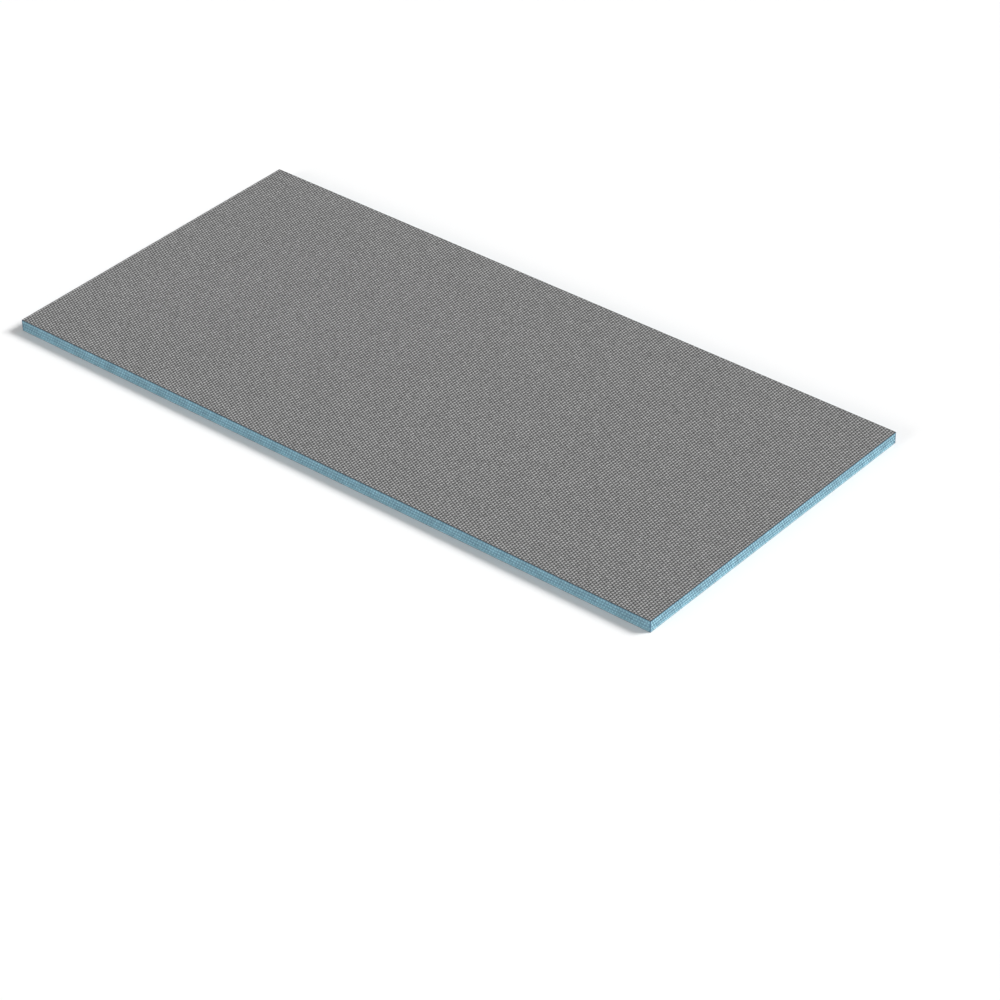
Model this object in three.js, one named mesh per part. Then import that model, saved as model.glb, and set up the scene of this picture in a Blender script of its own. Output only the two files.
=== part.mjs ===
// A foam tile backer board, the sheet that wall and floor tiles are bonded to in wet rooms.
// It is a sandwich: a stiff core of extruded polystyrene foam, and on each face a thin coat of
// polymer-modified cement mortar with a glass-fibre mesh bedded in it. The sandwich is trimmed
// square on all four sides, so the coats end flush with the core and the blue foam shows there.
//
// Units are millimetres, with +Z up. The board lies flat with its long side along X, and the
// origin is in the middle of the face that it lies on.
import * as THREE from "three";

// Driving dimensions
const boardLength = 1250;
const boardWidth = 600;
const boardThickness = 20;
const coatThickness = 0.6;

// The core fills what the two coats leave of the board's thickness.
const coreThickness = boardThickness - 2 * coatThickness;
const coreBottom = coatThickness;
const topCoatBottom = coatThickness + coreThickness;

const cementMortar = new THREE.MeshStandardMaterial({ color: 0x868686, roughness: 0.95, metalness: 0 });
const blueFoam = new THREE.MeshStandardMaterial({ color: 0x7dbcd6, roughness: 0.85, metalness: 0 });

// One layer of the sandwich, as long and wide as the board, lying on the height given.
function layer(name, thickness, bottom, material) {
  const geometry = new THREE.BoxGeometry(boardLength, boardWidth, thickness);
  geometry.translate(0, 0, thickness / 2);
  const mesh = new THREE.Mesh(geometry, material);
  mesh.name = name;
  mesh.position.z = bottom;
  return mesh;
}

const board = new THREE.Group();
board.name = "tile_backer_board";
board.add(
  layer("bottom_mortar_coat", coatThickness, 0, cementMortar),
  layer("foam_core", coreThickness, coreBottom, blueFoam),
  layer("top_mortar_coat", coatThickness, topCoatBottom, cementMortar),
);

export default board;
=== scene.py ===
"""A foam tile backer board, lying flat on a pale floor: blue foam between two thin coats of grey mortar.

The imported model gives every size. The coats and the core are made again here with the relief that the
real surfaces have, inside the space that their solids hold. Lengths are in metres unless a name says mm.
"""

import math

import bpy
import numpy as np
from mathutils import Matrix, Vector


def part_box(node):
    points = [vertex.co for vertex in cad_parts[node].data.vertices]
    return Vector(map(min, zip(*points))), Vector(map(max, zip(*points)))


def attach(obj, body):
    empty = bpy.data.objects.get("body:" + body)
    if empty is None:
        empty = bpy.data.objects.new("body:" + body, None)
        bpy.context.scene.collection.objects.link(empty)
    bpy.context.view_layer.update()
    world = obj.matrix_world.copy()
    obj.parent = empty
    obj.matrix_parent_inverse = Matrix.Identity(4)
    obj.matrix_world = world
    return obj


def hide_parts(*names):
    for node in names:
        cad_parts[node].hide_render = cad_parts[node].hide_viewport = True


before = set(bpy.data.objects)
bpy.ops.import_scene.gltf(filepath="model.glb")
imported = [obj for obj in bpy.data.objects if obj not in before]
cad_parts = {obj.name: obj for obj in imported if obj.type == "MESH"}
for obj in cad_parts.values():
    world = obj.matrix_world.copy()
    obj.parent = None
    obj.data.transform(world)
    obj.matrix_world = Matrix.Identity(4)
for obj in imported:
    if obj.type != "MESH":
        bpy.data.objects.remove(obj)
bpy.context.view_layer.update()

# The camera. It stands off the board's near corner and well above it, as in the photograph.
# Its angles, distance and lens were worked out from the board's straight edges in the picture.
# The aim point is where the middle of the picture falls on the board's face.
aim_point = Vector((0.2748, -0.2063, 0.0200))
camera_distance = 5.3296
camera_azimuth, camera_elevation, camera_roll = (math.radians(a) for a in (40.105, 35.377, -0.798))
focal_length_mm = 131.374
sensor_width_mm = 36.0
farthest_seen = 100.0


def towards(azimuth, elevation):
    """The way to a point at this angle round from the front, through the right, and this angle up.

    It is one long: the azimuth's sine, and its cosine taken backwards, both times the elevation's
    cosine, and then the elevation's sine.
    """
    return Vector(
        (
            math.sin(azimuth) * math.cos(elevation),
            -math.cos(azimuth) * math.cos(elevation),
            math.sin(elevation),
        )
    )


backwards = towards(camera_azimuth, camera_elevation)
level_right = Vector((math.cos(camera_azimuth), math.sin(camera_azimuth), 0.0))
turned = Matrix((level_right, backwards.cross(level_right), backwards)).transposed()
camera = bpy.data.objects.new("camera", bpy.data.cameras.new("camera"))
camera.data.lens = focal_length_mm
camera.data.sensor_width = sensor_width_mm
camera.data.clip_end = farthest_seen
camera.matrix_world = (
    Matrix.Translation(aim_point + backwards * camera_distance)
    @ turned.to_4x4()
    @ Matrix.Rotation(camera_roll, 4, "Z")
)
bpy.context.scene.collection.objects.link(camera)
bpy.context.scene.camera = camera
bpy.context.scene.view_settings.view_transform = "Standard"


# The studio. A wide pale floor of painted board with a low wall of glowing paper round it, lit by a
# strong soft lamp on the right, a weaker low one from the front left and an even white surround. Both
# lamps are far off, so the light is the same everywhere. None of it is part of the object.
floor_radius = 30.0
wall_height = 4.5
wall_steps = 96
floor_colour = "#fbfbfb"
floor_roughness = 0.8
floor_cloud_size = 1.25
floor_cloud_darkest = 0.985
wall_glow = 1.0
surround_strength = 0.345
lamps = {
    "key_lamp": {"azimuth": 137.0, "elevation": 37.0, "watts_per_m2": 3.25, "angle": 21.5},
    "fill_lamp": {"azimuth": -10.0, "elevation": 20.0, "watts_per_m2": 0.84, "angle": 19.0},
}


def linear(hex_colour):
    """Turns an sRGB hex colour to linear light: each channel is ((c + 0.055) / 1.055) to the power 2.4."""
    channels = [int(hex_colour[i : i + 2], 16) / 255 for i in (1, 3, 5)]
    return tuple(((c + 0.055) / 1.055) ** 2.4 for c in channels) + (1.0,)


def add_node(tree, kind, inputs=None, **settings):
    """Adds a node of this kind with its settings, and fills its inputs with values or from other nodes."""
    made = tree.nodes.new(kind)
    for name, value in settings.items():
        setattr(made, name, value)
    for key, value in (inputs or {}).items():
        if isinstance(value, bpy.types.NodeSocket):
            tree.links.new(value, made.inputs[key])
        else:
            made.inputs[key].default_value = value
    return made


def new_material(name):
    """Makes an empty node material and returns it with its tree."""
    material = bpy.data.materials.new(name)
    material.use_nodes = True
    material.node_tree.nodes.clear()
    return material, material.node_tree


painted_board, tree = new_material("matt_white_painted_studio_board")
place = add_node(tree, "ShaderNodeTexCoord").outputs["Object"]
cloud = add_node(tree, "ShaderNodeTexNoise", {"Vector": place, "Scale": 1 / floor_cloud_size})
shade = add_node(
    tree, "ShaderNodeMapRange", {"Value": cloud.outputs["Fac"], "To Min": floor_cloud_darkest, "To Max": 1.0}
)
paint = add_node(
    tree,
    "ShaderNodeVectorMath",
    {0: linear(floor_colour)[:3], "Scale": shade.outputs["Result"]},
    operation="SCALE",
)
shader = add_node(
    tree, "ShaderNodeBsdfPrincipled", {"Base Color": paint.outputs["Vector"], "Roughness": floor_roughness}
)
add_node(tree, "ShaderNodeOutputMaterial", {"Surface": shader.outputs["BSDF"]})

glowing_paper, tree = new_material("white_paper_lit_from_behind")
glow = add_node(tree, "ShaderNodeEmission", {"Strength": wall_glow})
add_node(tree, "ShaderNodeOutputMaterial", {"Surface": glow.outputs["Emission"]})

# The floor is one round face, and the wall is a four-sided face for each step round its rim. The wall
# lets the lamps shine through it, so that it throws no shadow on the floor.
turn = np.arange(wall_steps) / wall_steps * 2 * np.pi
rim = np.stack([np.cos(turn), np.sin(turn), 0 * turn], 1) * floor_radius
step = np.arange(wall_steps)
after = (step + 1) % wall_steps
wall_faces = np.stack([after, step, step + wall_steps, after + wall_steps], 1)
wall_points = np.concatenate([rim, rim + (0, 0, wall_height)])
for name, points, faces, material in (
    ("floor", rim, step[None], painted_board),
    ("wall", wall_points, wall_faces, glowing_paper),
):
    mesh = bpy.data.meshes.new(name)
    mesh.from_pydata(points.tolist(), [], faces.tolist())
    mesh.materials.append(material)
    setting = bpy.data.objects.new(name, mesh)
    setting.visible_shadow = name == "floor"
    bpy.context.scene.collection.objects.link(setting)

for name, lamp in lamps.items():
    light = bpy.data.lights.new(name, "SUN")
    light.energy = lamp["watts_per_m2"]
    light.angle = math.radians(lamp["angle"])
    stand = bpy.data.objects.new(name, light)
    lamp_way = towards(math.radians(lamp["azimuth"]), math.radians(lamp["elevation"]))
    stand.rotation_euler = lamp_way.to_track_quat("Z", "Y").to_euler()
    bpy.context.scene.collection.objects.link(stand)

surround = bpy.data.worlds.new("white_surround")
surround.use_nodes = True
background = surround.node_tree.nodes["Background"].inputs
background["Color"].default_value = (1.0, 1.0, 1.0, 1.0)
background["Strength"].default_value = surround_strength
bpy.context.scene.world = surround


# The foam core. It is a sheet of light blue extruded polystyrene, foamed through a slot and sawn to
# size. The four sawn edges show rows of small ticks 5 mm apart, each row staggered against the next,
# which stop just short of the coats and the corners. The short ends, cut crosswise, are the rougher ones.
core_low, core_high = (np.array(corner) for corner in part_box("foam_core"))
tick_spacing = 0.005
tick_depth = 0.0005
ripped_strength, crosscut_strength = 0.85, 1.6
samples_per_tick = 4
core_rows = 20
lowest_row_height = 0.0006
row_weight, tick_weight = 1.2, 1.8
sawn_roughness = 0.32
corner_fade = 0.003
corner_darkening = 0.0025
darkened_tone, foot_tone, palest_tone = -0.34, 0.8, 1.2
least_darkened_share = 0.75
foot_painted_light, foot_height = 0.3, 0.005
sharp_angle = math.radians(60)
chance = np.random.default_rng(seed=5)


def staggered_humps(across, along, spacing):
    """Height of humps in rows one spacing apart, with every other row moved half a spacing.

    It is the sum of a wave across the rows and of a wave along them that turns over from row to row,
    each with its own weight. It is scaled to be 1 on a hump, and falls to just below 0 between them.
    """
    turn = 2 * np.pi / spacing
    rows = row_weight * np.cos(turn * across)
    ticks = tick_weight * np.cos(turn * across / 2) * np.cos(turn * along)
    return (rows + ticks + row_weight) / (2 * row_weight + tick_weight)


def smooth_step(share):
    """Goes from 0 to 1 as the share does, level at both ends: 3 t squared less 2 t cubed."""
    t = np.clip(share, 0, 1)
    return t * t * (3 - 2 * t)


def mesh_from_arrays(name, points, triangles):
    """Puts an array of points and an array of triangles, as rows of three point numbers, into a mesh."""
    mesh = bpy.data.meshes.new(name)
    mesh.vertices.add(len(points))
    mesh.vertices.foreach_set("co", points.astype(np.float32).ravel())
    mesh.loops.add(triangles.size)
    mesh.loops.foreach_set("vertex_index", triangles.astype(np.int32).ravel())
    mesh.polygons.add(len(triangles))
    mesh.polygons.foreach_set("loop_start", np.arange(0, triangles.size, 3, dtype=np.int32))
    mesh.update(calc_edges=True)
    mesh.shade_smooth()
    mesh.set_sharp_from_angle(angle=sharp_angle)
    return mesh


def add_piece(name, mesh, node, materials):
    """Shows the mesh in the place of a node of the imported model, on the board's one body."""
    for material in materials:
        mesh.materials.append(material)
    piece = bpy.data.objects.new(name, mesh)
    bpy.context.scene.collection.objects.link(piece)
    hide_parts(node)
    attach(piece, "root")


def core_sides(low, high):
    """A wall carried round the four sides: the place along the path and the height give a point.

    The hump height is that of the staggered humps with a random roughness added, kept from 0 to 1. The
    point moves inwards by the tick depth where it is 0, and not at all where it is 1, at a corner or at
    the top and bottom edge. Returns the points, one row for each height, and a tone for each: its hump
    height, which paints shade into the grooves between the ticks, lifted towards the foot as painted
    light. At the corners and along the top edge the tone is about the darkened tone instead, and at
    the bottom edge the paler foot tone, also painted light. Depth and painted shade swing less on the
    ripped long sides than on the crosscut ends.
    """
    corner = np.array([(low[0], low[1]), (high[0], low[1]), (high[0], high[1]), (low[0], high[1])])
    lengths = np.linalg.norm(np.roll(corner, -1, 0) - corner, axis=1)
    counts = np.rint(lengths / tick_spacing * samples_per_tick).astype(int)
    side = np.repeat(np.arange(4), counts)
    step = np.concatenate([np.arange(count) for count in counts])
    along = step / counts[side] * lengths[side]
    direction = (np.roll(corner, -1, 0) - corner)[side] / lengths[side, None]
    inwards = np.stack([-direction[:, 1], direction[:, 0]], 1)
    height = np.linspace(0, high[2] - low[2], core_rows + 1)
    hump = staggered_humps(height[:, None] + low[2] - lowest_row_height, along[None, :], tick_spacing)
    hump = np.clip(hump + sawn_roughness * chance.uniform(-1, 1, hump.shape), 0, 1)
    from_corner = np.minimum(along, lengths[side] - along)
    fade = np.tile(smooth_step(from_corner / corner_fade), (len(height), 1))
    fade[[0, -1]] = 0
    strength = np.where(side % 2 == 1, crosscut_strength, ripped_strength)
    depth = tick_depth * strength * (1 - hump) * fade
    tone = hump.mean() + (hump - hump.mean()) * strength
    # Painted light: the tone is lifted towards the foot, so the foam is paler near the floor.
    tone += foot_painted_light * (1 - smooth_step(height / foot_height))[:, None]
    tone = np.clip(tone, darkened_tone, palest_tone)
    plan = (corner[side] + direction * along[:, None])[None] + inwards[None] * depth[..., None]
    level = np.broadcast_to(height[:, None, None] + low[2], plan.shape[:2] + (1,))
    # The corners, and the top edge next to the coat, are darkened to about the darkened tone, varied at
    # random.
    darkened = darkened_tone * chance.uniform(least_darkened_share, 1, hump.shape)
    tone[0], tone[-1] = foot_tone, darkened[-1]
    darkening = 1 - smooth_step(from_corner / corner_darkening)
    return np.concatenate([plan, level], 2), tone + (darkened - tone) * darkening


def core_triangles(heights, around):
    """Two triangles for each step round the path and up it, and a fan from a middle point at each end."""
    upper, here = np.meshgrid(np.arange(1, heights), np.arange(around), indexing="ij")
    beyond = (here + 1) % around
    a, b = (upper - 1) * around + here, (upper - 1) * around + beyond
    c, d = upper * around + beyond, upper * around + here
    walls = np.stack([a, b, c, a, c, d], -1).reshape(-1, 3)
    ring, after = np.arange(around), (np.arange(around) + 1) % around
    top = (heights - 1) * around
    under_middle, over_middle = heights * around, heights * around + 1
    under = np.stack([np.full(around, under_middle), after, ring], 1)
    over = np.stack([np.full(around, over_middle), top + ring, top + after], 1)
    return np.concatenate([walls, under, over])


side_points, side_tones = core_sides(core_low, core_high)
core_middle = (core_low + core_high) / 2
end_middles = np.array([(*core_middle[:2], core_low[2]), (*core_middle[:2], core_high[2])])
core_mesh = mesh_from_arrays(
    "foam_core",
    np.concatenate([side_points.reshape(-1, 3), end_middles]),
    core_triangles(*side_points.shape[:2]),
)
core_mesh.attributes.new("tone", "FLOAT", "POINT").data.foreach_set(
    "value", np.concatenate([side_tones.ravel(), np.ones(2)]).astype(np.float32)
)

# Extruded polystyrene, sawn: closed cells about 0.3 mm across, which give a matt face with a faint
# sparkle, a soft mottle where the foam grew unevenly, and small tears where the saw caught it.
# The groove colour is painted shade for the grooves between the ticks.
foam_light, foam_groove_shade = "#a1cedb", "#567e92"
foam_ior = 1.59
cell_size = 0.0003
cell_middle_roughness, cell_border_roughness = 0.62, 0.8
cell_bump_strength, cell_bump_depth = 0.5, cell_size / 4
mottle_size, mottle_spread = 0.018, 0.14
tear_size, tear_spread = 0.0024, 0.12
noise_low, noise_high = 0.3, 0.7


def varied(tree, colour, patterns):
    """Scales a colour by each noise pattern in turn, from its spread below 1 to its spread above 1."""
    for pattern, spread in patterns:
        tone = add_node(
            tree,
            "ShaderNodeMapRange",
            {
                "Value": pattern.outputs["Fac"],
                "From Min": noise_low,
                "From Max": noise_high,
                "To Min": 1 - spread,
                "To Max": 1 + spread,
            },
        )
        scaled = add_node(
            tree, "ShaderNodeVectorMath", {0: colour, "Scale": tone.outputs["Result"]}, operation="SCALE"
        )
        colour = scaled.outputs["Vector"]
    return colour


blue_foam, tree = new_material("sawn_extruded_polystyrene_foam")
place = add_node(tree, "ShaderNodeTexCoord").outputs["Object"]
tick_painted_light_and_shade = add_node(tree, "ShaderNodeAttribute", attribute_name="tone").outputs["Fac"]
mottle = add_node(
    tree, "ShaderNodeTexNoise", {"Vector": place, "Scale": 1 / mottle_size, "Detail": 3.0, "Roughness": 0.6}
)
tears = add_node(tree, "ShaderNodeTexNoise", {"Vector": place, "Scale": 1 / tear_size, "Detail": 2.0})
cells = add_node(tree, "ShaderNodeTexVoronoi", {"Vector": place, "Scale": 1 / cell_size})
# Painted shade: the tone darkens the grooves between the ticks to the groove colour, where shade falls.
rows = add_node(
    tree,
    "ShaderNodeMix",
    {"Factor": tick_painted_light_and_shade, "A": linear(foam_groove_shade), "B": linear(foam_light)},
    data_type="RGBA",
    clamp_factor=False,
)
foam_colour = varied(tree, rows.outputs["Result"], ((mottle, mottle_spread), (tears, tear_spread)))
gloss = add_node(
    tree,
    "ShaderNodeMapRange",
    {
        "Value": cells.outputs["Distance"],
        "To Min": cell_middle_roughness,
        "To Max": cell_border_roughness,
    },
)
cell_bump = add_node(
    tree,
    "ShaderNodeBump",
    {
        "Height": cells.outputs["Distance"],
        "Strength": cell_bump_strength,
        "Distance": cell_bump_depth,
    },
)
shader = add_node(
    tree,
    "ShaderNodeBsdfPrincipled",
    {
        "Base Color": foam_colour,
        "Roughness": gloss.outputs["Result"],
        "IOR": foam_ior,
        "Normal": cell_bump.outputs["Normal"],
    },
)
add_node(tree, "ShaderNodeOutputMaterial", {"Surface": shader.outputs["BSDF"]})
add_piece("foam_core_sheet", core_mesh, "foam_core", [blue_foam])


# The mortar coats. Each is a thin skin of grey cement mortar, trowelled over a woven glass-fibre mesh
# whose crossings stand up as staggered humps 5 mm apart. The coat is bonded to the core and trimmed
# flush with it, so its section shows as a dark line along every edge.
mesh_spacing = 0.005
relief_depth = 0.0004
trimmed_share = 0.15
flank_power = 4.6
height_spread = 0.00006
place_spread = 0.0003
least_reach = 1e-12


def coat(low, high, face_up):
    """A closed layer with humps on its outer face, flat against the core.

    Seen from above, the face is columns of square cells one spacing wide, each second column moved half
    a cell. A cell has its peak in the middle and falls in six triangles to the low points on the column
    borders. A corner's normal leans out from the peak as on a dome whose height falls with the flank
    power of the distance, and its offset from the peak goes from -1 to 1 across the cell both ways.
    Returns points, triangles, corner offsets, corner normals and the material of each triangle. The
    bottom coat has its humps below and its triangles turned over.
    """
    columns = round((high[0] - low[0]) / mesh_spacing)
    halves = round((high[1] - low[1]) / mesh_spacing * 2)
    face, inner = (high[2], low[2]) if face_up else (low[2], high[2])
    outwards = math.copysign(1.0, face - inner)

    column, half = np.meshgrid(np.arange(columns + 1), np.arange(halves + 1), indexing="ij")
    low_number = column * (halves + 1) + half
    at_border = (column == 0) | (column == columns) | (half == 0) | (half == halves)
    low_depth = np.where(at_border, relief_depth * trimmed_share, relief_depth)
    low_places = low[0] + column * mesh_spacing, low[1] + half * mesh_spacing / 2
    low_points = np.stack([*low_places, face - outwards * low_depth], -1).reshape(-1, 3)

    is_peak = (column[:-1] + half[:-1]) % 2 == 1
    peak_column, peak_half = column[:-1][is_peak], half[:-1][is_peak]
    peak_number = np.full(is_peak.shape, -1)
    peak_number[is_peak] = len(low_points) + np.arange(len(peak_column))
    peaks = np.stack(
        [
            low[0] + (peak_column + 0.5) * mesh_spacing,
            low[1] + peak_half * mesh_spacing / 2,
            face - outwards * chance.uniform(0, height_spread, len(peak_column)),
        ],
        1,
    )
    inside_low, inside_peak = ~at_border.ravel(), (peak_half > 0) & (peak_half < halves)
    for moved, inside in ((low_points, inside_low), (peaks, inside_peak)):
        moved[inside, :2] += chance.uniform(-place_spread, place_spread, (inside.sum(), 2))

    # The six low points round a peak, and the triangles between them that lie on the board.
    offset = np.array([(-1, -1), (1, -1), (1, 0), (1, 1), (-1, 1), (-1, 0)])
    ring_column = peak_column[:, None] + (offset[:, 0] + 1) // 2
    ring_half = peak_half[:, None] + offset[:, 1]
    on_board = (ring_half >= 0) & (ring_half <= halves)
    ring = np.where(on_board, ring_column * (halves + 1) + ring_half, 0)
    peak = np.repeat(peak_number[is_peak][:, None], len(offset), 1)
    used = on_board & np.roll(on_board, -1, 1)
    face_triangles = np.stack([peak, ring, np.roll(ring, -1, 1)], -1)[used]
    fan_offsets = np.stack([0 * offset, offset, np.roll(offset, -1, 0)], 1)

    # The outline, once round against the clock, with the peaks that the trimmed long edges cut through.
    front = np.stack([low_number[:-1, 0], peak_number[:, 0]], 1).ravel()
    back = np.stack([low_number[1:, -1], peak_number[:, -1]], 1)[::-1].ravel()
    right, left = low_number[-1, :-1], low_number[0, :0:-1]
    outline = np.concatenate([front[front >= 0], right, back[back >= 0], left])
    upper_points = np.concatenate([low_points, peaks])
    inner_points = upper_points[outline]
    inner_points[:, 2] = inner
    middle = np.array([[(low[0] + high[0]) / 2, (low[1] + high[1]) / 2, inner]])
    points = np.concatenate([upper_points, inner_points, middle])

    under = len(upper_points) + np.arange(len(outline))
    next_outline, next_under = np.roll(outline, -1), np.roll(under, -1)
    walls = np.concatenate(
        [np.stack([under, next_under, next_outline], 1), np.stack([under, next_outline, outline], 1)]
    )
    backing = np.stack([np.full(len(outline), len(points) - 1), next_under, under], 1)
    triangles = np.concatenate([face_triangles, walls, backing])

    # The face's triangles come first, then the walls. At the peak itself the least reach keeps the lean 0.
    face_count = len(face_triangles)
    from_peak = points[face_triangles] - points[face_triangles[:, :1]]
    squared_reach = np.maximum((from_peak[..., :2] ** 2).sum(-1, keepdims=True), least_reach)
    lean = flank_power * from_peak[..., :2] * np.abs(from_peak[..., 2:]) / squared_reach
    normals = np.zeros(triangles.shape + (3,))
    normals[:face_count, :, :2] = lean
    normals[:face_count, :, 2] = outwards
    normals[:face_count] /= np.linalg.norm(normals[:face_count], axis=-1, keepdims=True)

    offsets = np.ones(triangles.shape + (3,))
    offsets[:face_count, :, :2] = np.broadcast_to(fan_offsets, used.shape + (3, 2))[used]
    offsets[..., 2] = 0
    is_wall = np.zeros(len(triangles), int)
    is_wall[face_count : face_count + len(walls)] = 1
    if not face_up:
        triangles, offsets, normals = triangles[:, ::-1], offsets[:, ::-1], normals[:, ::-1]
    return points, triangles, offsets, normals, is_wall


# Polymer-modified cement mortar, trowelled and cured: dead matt and stony, with fine sand in it. Its
# colour holds painted shade: near black in the hollows between the humps, where shade falls, and pale
# on their crowns. The sand is drawn twice as coarse as the real 0.3 mm, so that it shows.
# The hollow grey is painted shade: near black, for the hollows between the humps.
crown_grey, hollow_painted_shade_grey, cut_grey = "#a2a2a2", "#262626", "#202020"
crown_roughness, hollow_roughness, cut_roughness = 0.84, 0.95, 0.95
crown_share = 0.1
mortar_ior = 1.52
sand_grain, sand_spread = 0.0006, 0.16
smear_size, smear_spread = 0.003, 0.3
cloud_size, cloud_spread = 0.12, 0.02
sand_bump_depth = sand_grain / 4
face_bump_strength, cut_bump_strength = 0.6, 0.8
darkest_grit, palest_grit = 0.75, 1.2
arris_dark_from, arris_dark_to = 0.0011, 0.0003
ragged = 0.0004
half_sizes = (*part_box("top_mortar_coat")[1][:2], 0.0)

# How far a point lies from its hump's peak is the root of its two offsets' fourth powers added up. It
# is 0 on the peak and 1 in the middle of a cell's side, and the crown's grey is full up to its share.
mortar_face, tree = new_material("trowelled_cement_mortar_over_glass_mesh")
place = add_node(tree, "ShaderNodeTexCoord").outputs["Object"]
offset = add_node(tree, "ShaderNodeAttribute", attribute_name="from_peak").outputs["Vector"]
squared = add_node(tree, "ShaderNodeVectorMath", {0: offset, 1: offset}, operation="MULTIPLY")
squares = squared.outputs["Vector"]
fourths = add_node(tree, "ShaderNodeVectorMath", {0: squares, 1: squares}, operation="DOT_PRODUCT")
fall = add_node(tree, "ShaderNodeMath", {0: fourths.outputs["Value"]}, operation="SQRT")
crown = add_node(
    tree,
    "ShaderNodeMapRange",
    {"Value": fall.outputs["Value"], "From Min": 1.0, "From Max": crown_share},
    interpolation_type="SMOOTHSTEP",
)
sand = add_node(
    tree, "ShaderNodeTexNoise", {"Vector": place, "Scale": 1 / sand_grain, "Detail": 2.0, "Roughness": 0.6}
)
smear = add_node(tree, "ShaderNodeTexNoise", {"Vector": place, "Scale": 1 / smear_size, "Detail": 2.0})
cloud = add_node(tree, "ShaderNodeTexNoise", {"Vector": place, "Scale": 1 / cloud_size, "Detail": 3.0})
# Painted shade: the colour falls from the crown's grey to near black in the hollows between the humps.
relief_painted_shade = add_node(
    tree,
    "ShaderNodeMix",
    {"Factor": crown.outputs["Result"], "A": linear(hollow_painted_shade_grey), "B": linear(crown_grey)},
    data_type="RGBA",
)
mortar_patterns = (sand, sand_spread), (smear, smear_spread), (cloud, cloud_spread)
mortar_colour = varied(tree, relief_painted_shade.outputs["Result"], mortar_patterns)

# Along the arris the face is darkened. How far a point lies past the board's edge, less than zero on
# the face and made ragged by the smear, turns the last millimetre as dark as the cut.
sideways = add_node(tree, "ShaderNodeVectorMath", {0: place}, operation="ABSOLUTE")
past_edge = add_node(
    tree, "ShaderNodeVectorMath", {0: sideways.outputs["Vector"], 1: half_sizes}, operation="SUBTRACT"
)
past = add_node(tree, "ShaderNodeSeparateXYZ", {"Vector": past_edge.outputs["Vector"]})
nearest = add_node(
    tree, "ShaderNodeMath", {0: past.outputs["X"], 1: past.outputs["Y"]}, operation="MAXIMUM"
)
swing = add_node(
    tree,
    "ShaderNodeMapRange",
    {
        "Value": smear.outputs["Fac"],
        "From Min": noise_low,
        "From Max": noise_high,
        "To Min": -ragged,
        "To Max": ragged,
    },
)
ragged_past = add_node(tree, "ShaderNodeMath", {0: nearest.outputs["Value"], 1: swing.outputs["Result"]})
arris_dark = add_node(
    tree,
    "ShaderNodeMapRange",
    {"Value": ragged_past.outputs["Value"], "From Min": -arris_dark_from, "From Max": -arris_dark_to},
)
face_colour = add_node(
    tree,
    "ShaderNodeMix",
    {"Factor": arris_dark.outputs["Result"], "A": mortar_colour, "B": linear(cut_grey)},
    data_type="RGBA",
)
gloss = add_node(
    tree,
    "ShaderNodeMapRange",
    {"Value": crown.outputs["Result"], "To Min": hollow_roughness, "To Max": crown_roughness},
)
sand_bump = add_node(
    tree,
    "ShaderNodeBump",
    {"Height": sand.outputs["Fac"], "Strength": face_bump_strength, "Distance": sand_bump_depth},
)
shader = add_node(
    tree,
    "ShaderNodeBsdfPrincipled",
    {
        "Base Color": face_colour.outputs["Result"],
        "Roughness": gloss.outputs["Result"],
        "IOR": mortar_ior,
        "Normal": sand_bump.outputs["Normal"],
    },
)
add_node(tree, "ShaderNodeOutputMaterial", {"Surface": shader.outputs["BSDF"]})

# The trimmed section of the coat: the same mortar, cut with the board, rough and open, and near black.
mortar_edge, tree = new_material("sawn_cement_mortar_edge")
place = add_node(tree, "ShaderNodeTexCoord").outputs["Object"]
grit = add_node(tree, "ShaderNodeTexNoise", {"Vector": place, "Scale": 1 / sand_grain, "Detail": 2.0})
grit_tone = add_node(
    tree,
    "ShaderNodeMapRange",
    {
        "Value": grit.outputs["Fac"],
        "From Min": noise_low,
        "From Max": noise_high,
        "To Min": darkest_grit,
        "To Max": palest_grit,
    },
)
edge_colour = add_node(
    tree,
    "ShaderNodeVectorMath",
    {0: linear(cut_grey)[:3], "Scale": grit_tone.outputs["Result"]},
    operation="SCALE",
)
grit_bump = add_node(
    tree,
    "ShaderNodeBump",
    {"Height": grit.outputs["Fac"], "Strength": cut_bump_strength, "Distance": sand_bump_depth},
)
shader = add_node(
    tree,
    "ShaderNodeBsdfPrincipled",
    {
        "Base Color": edge_colour.outputs["Vector"],
        "Roughness": cut_roughness,
        "IOR": mortar_ior,
        "Normal": grit_bump.outputs["Normal"],
    },
)
add_node(tree, "ShaderNodeOutputMaterial", {"Surface": shader.outputs["BSDF"]})

for node, face_up in (("top_mortar_coat", True), ("bottom_mortar_coat", False)):
    points, triangles, offsets, normals, is_wall = coat(*map(np.array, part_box(node)), face_up)
    mesh = mesh_from_arrays(node, points, triangles)
    from_peak = mesh.attributes.new("from_peak", "FLOAT_VECTOR", "CORNER").data
    from_peak.foreach_set("vector", offsets.astype(np.float32).ravel())
    mesh.polygons.foreach_set("material_index", is_wall.astype(np.int32))
    mesh.normals_split_custom_set(normals.reshape(-1, 3))
    add_piece(node.replace("coat", "skin"), mesh, node, [mortar_face, mortar_edge])
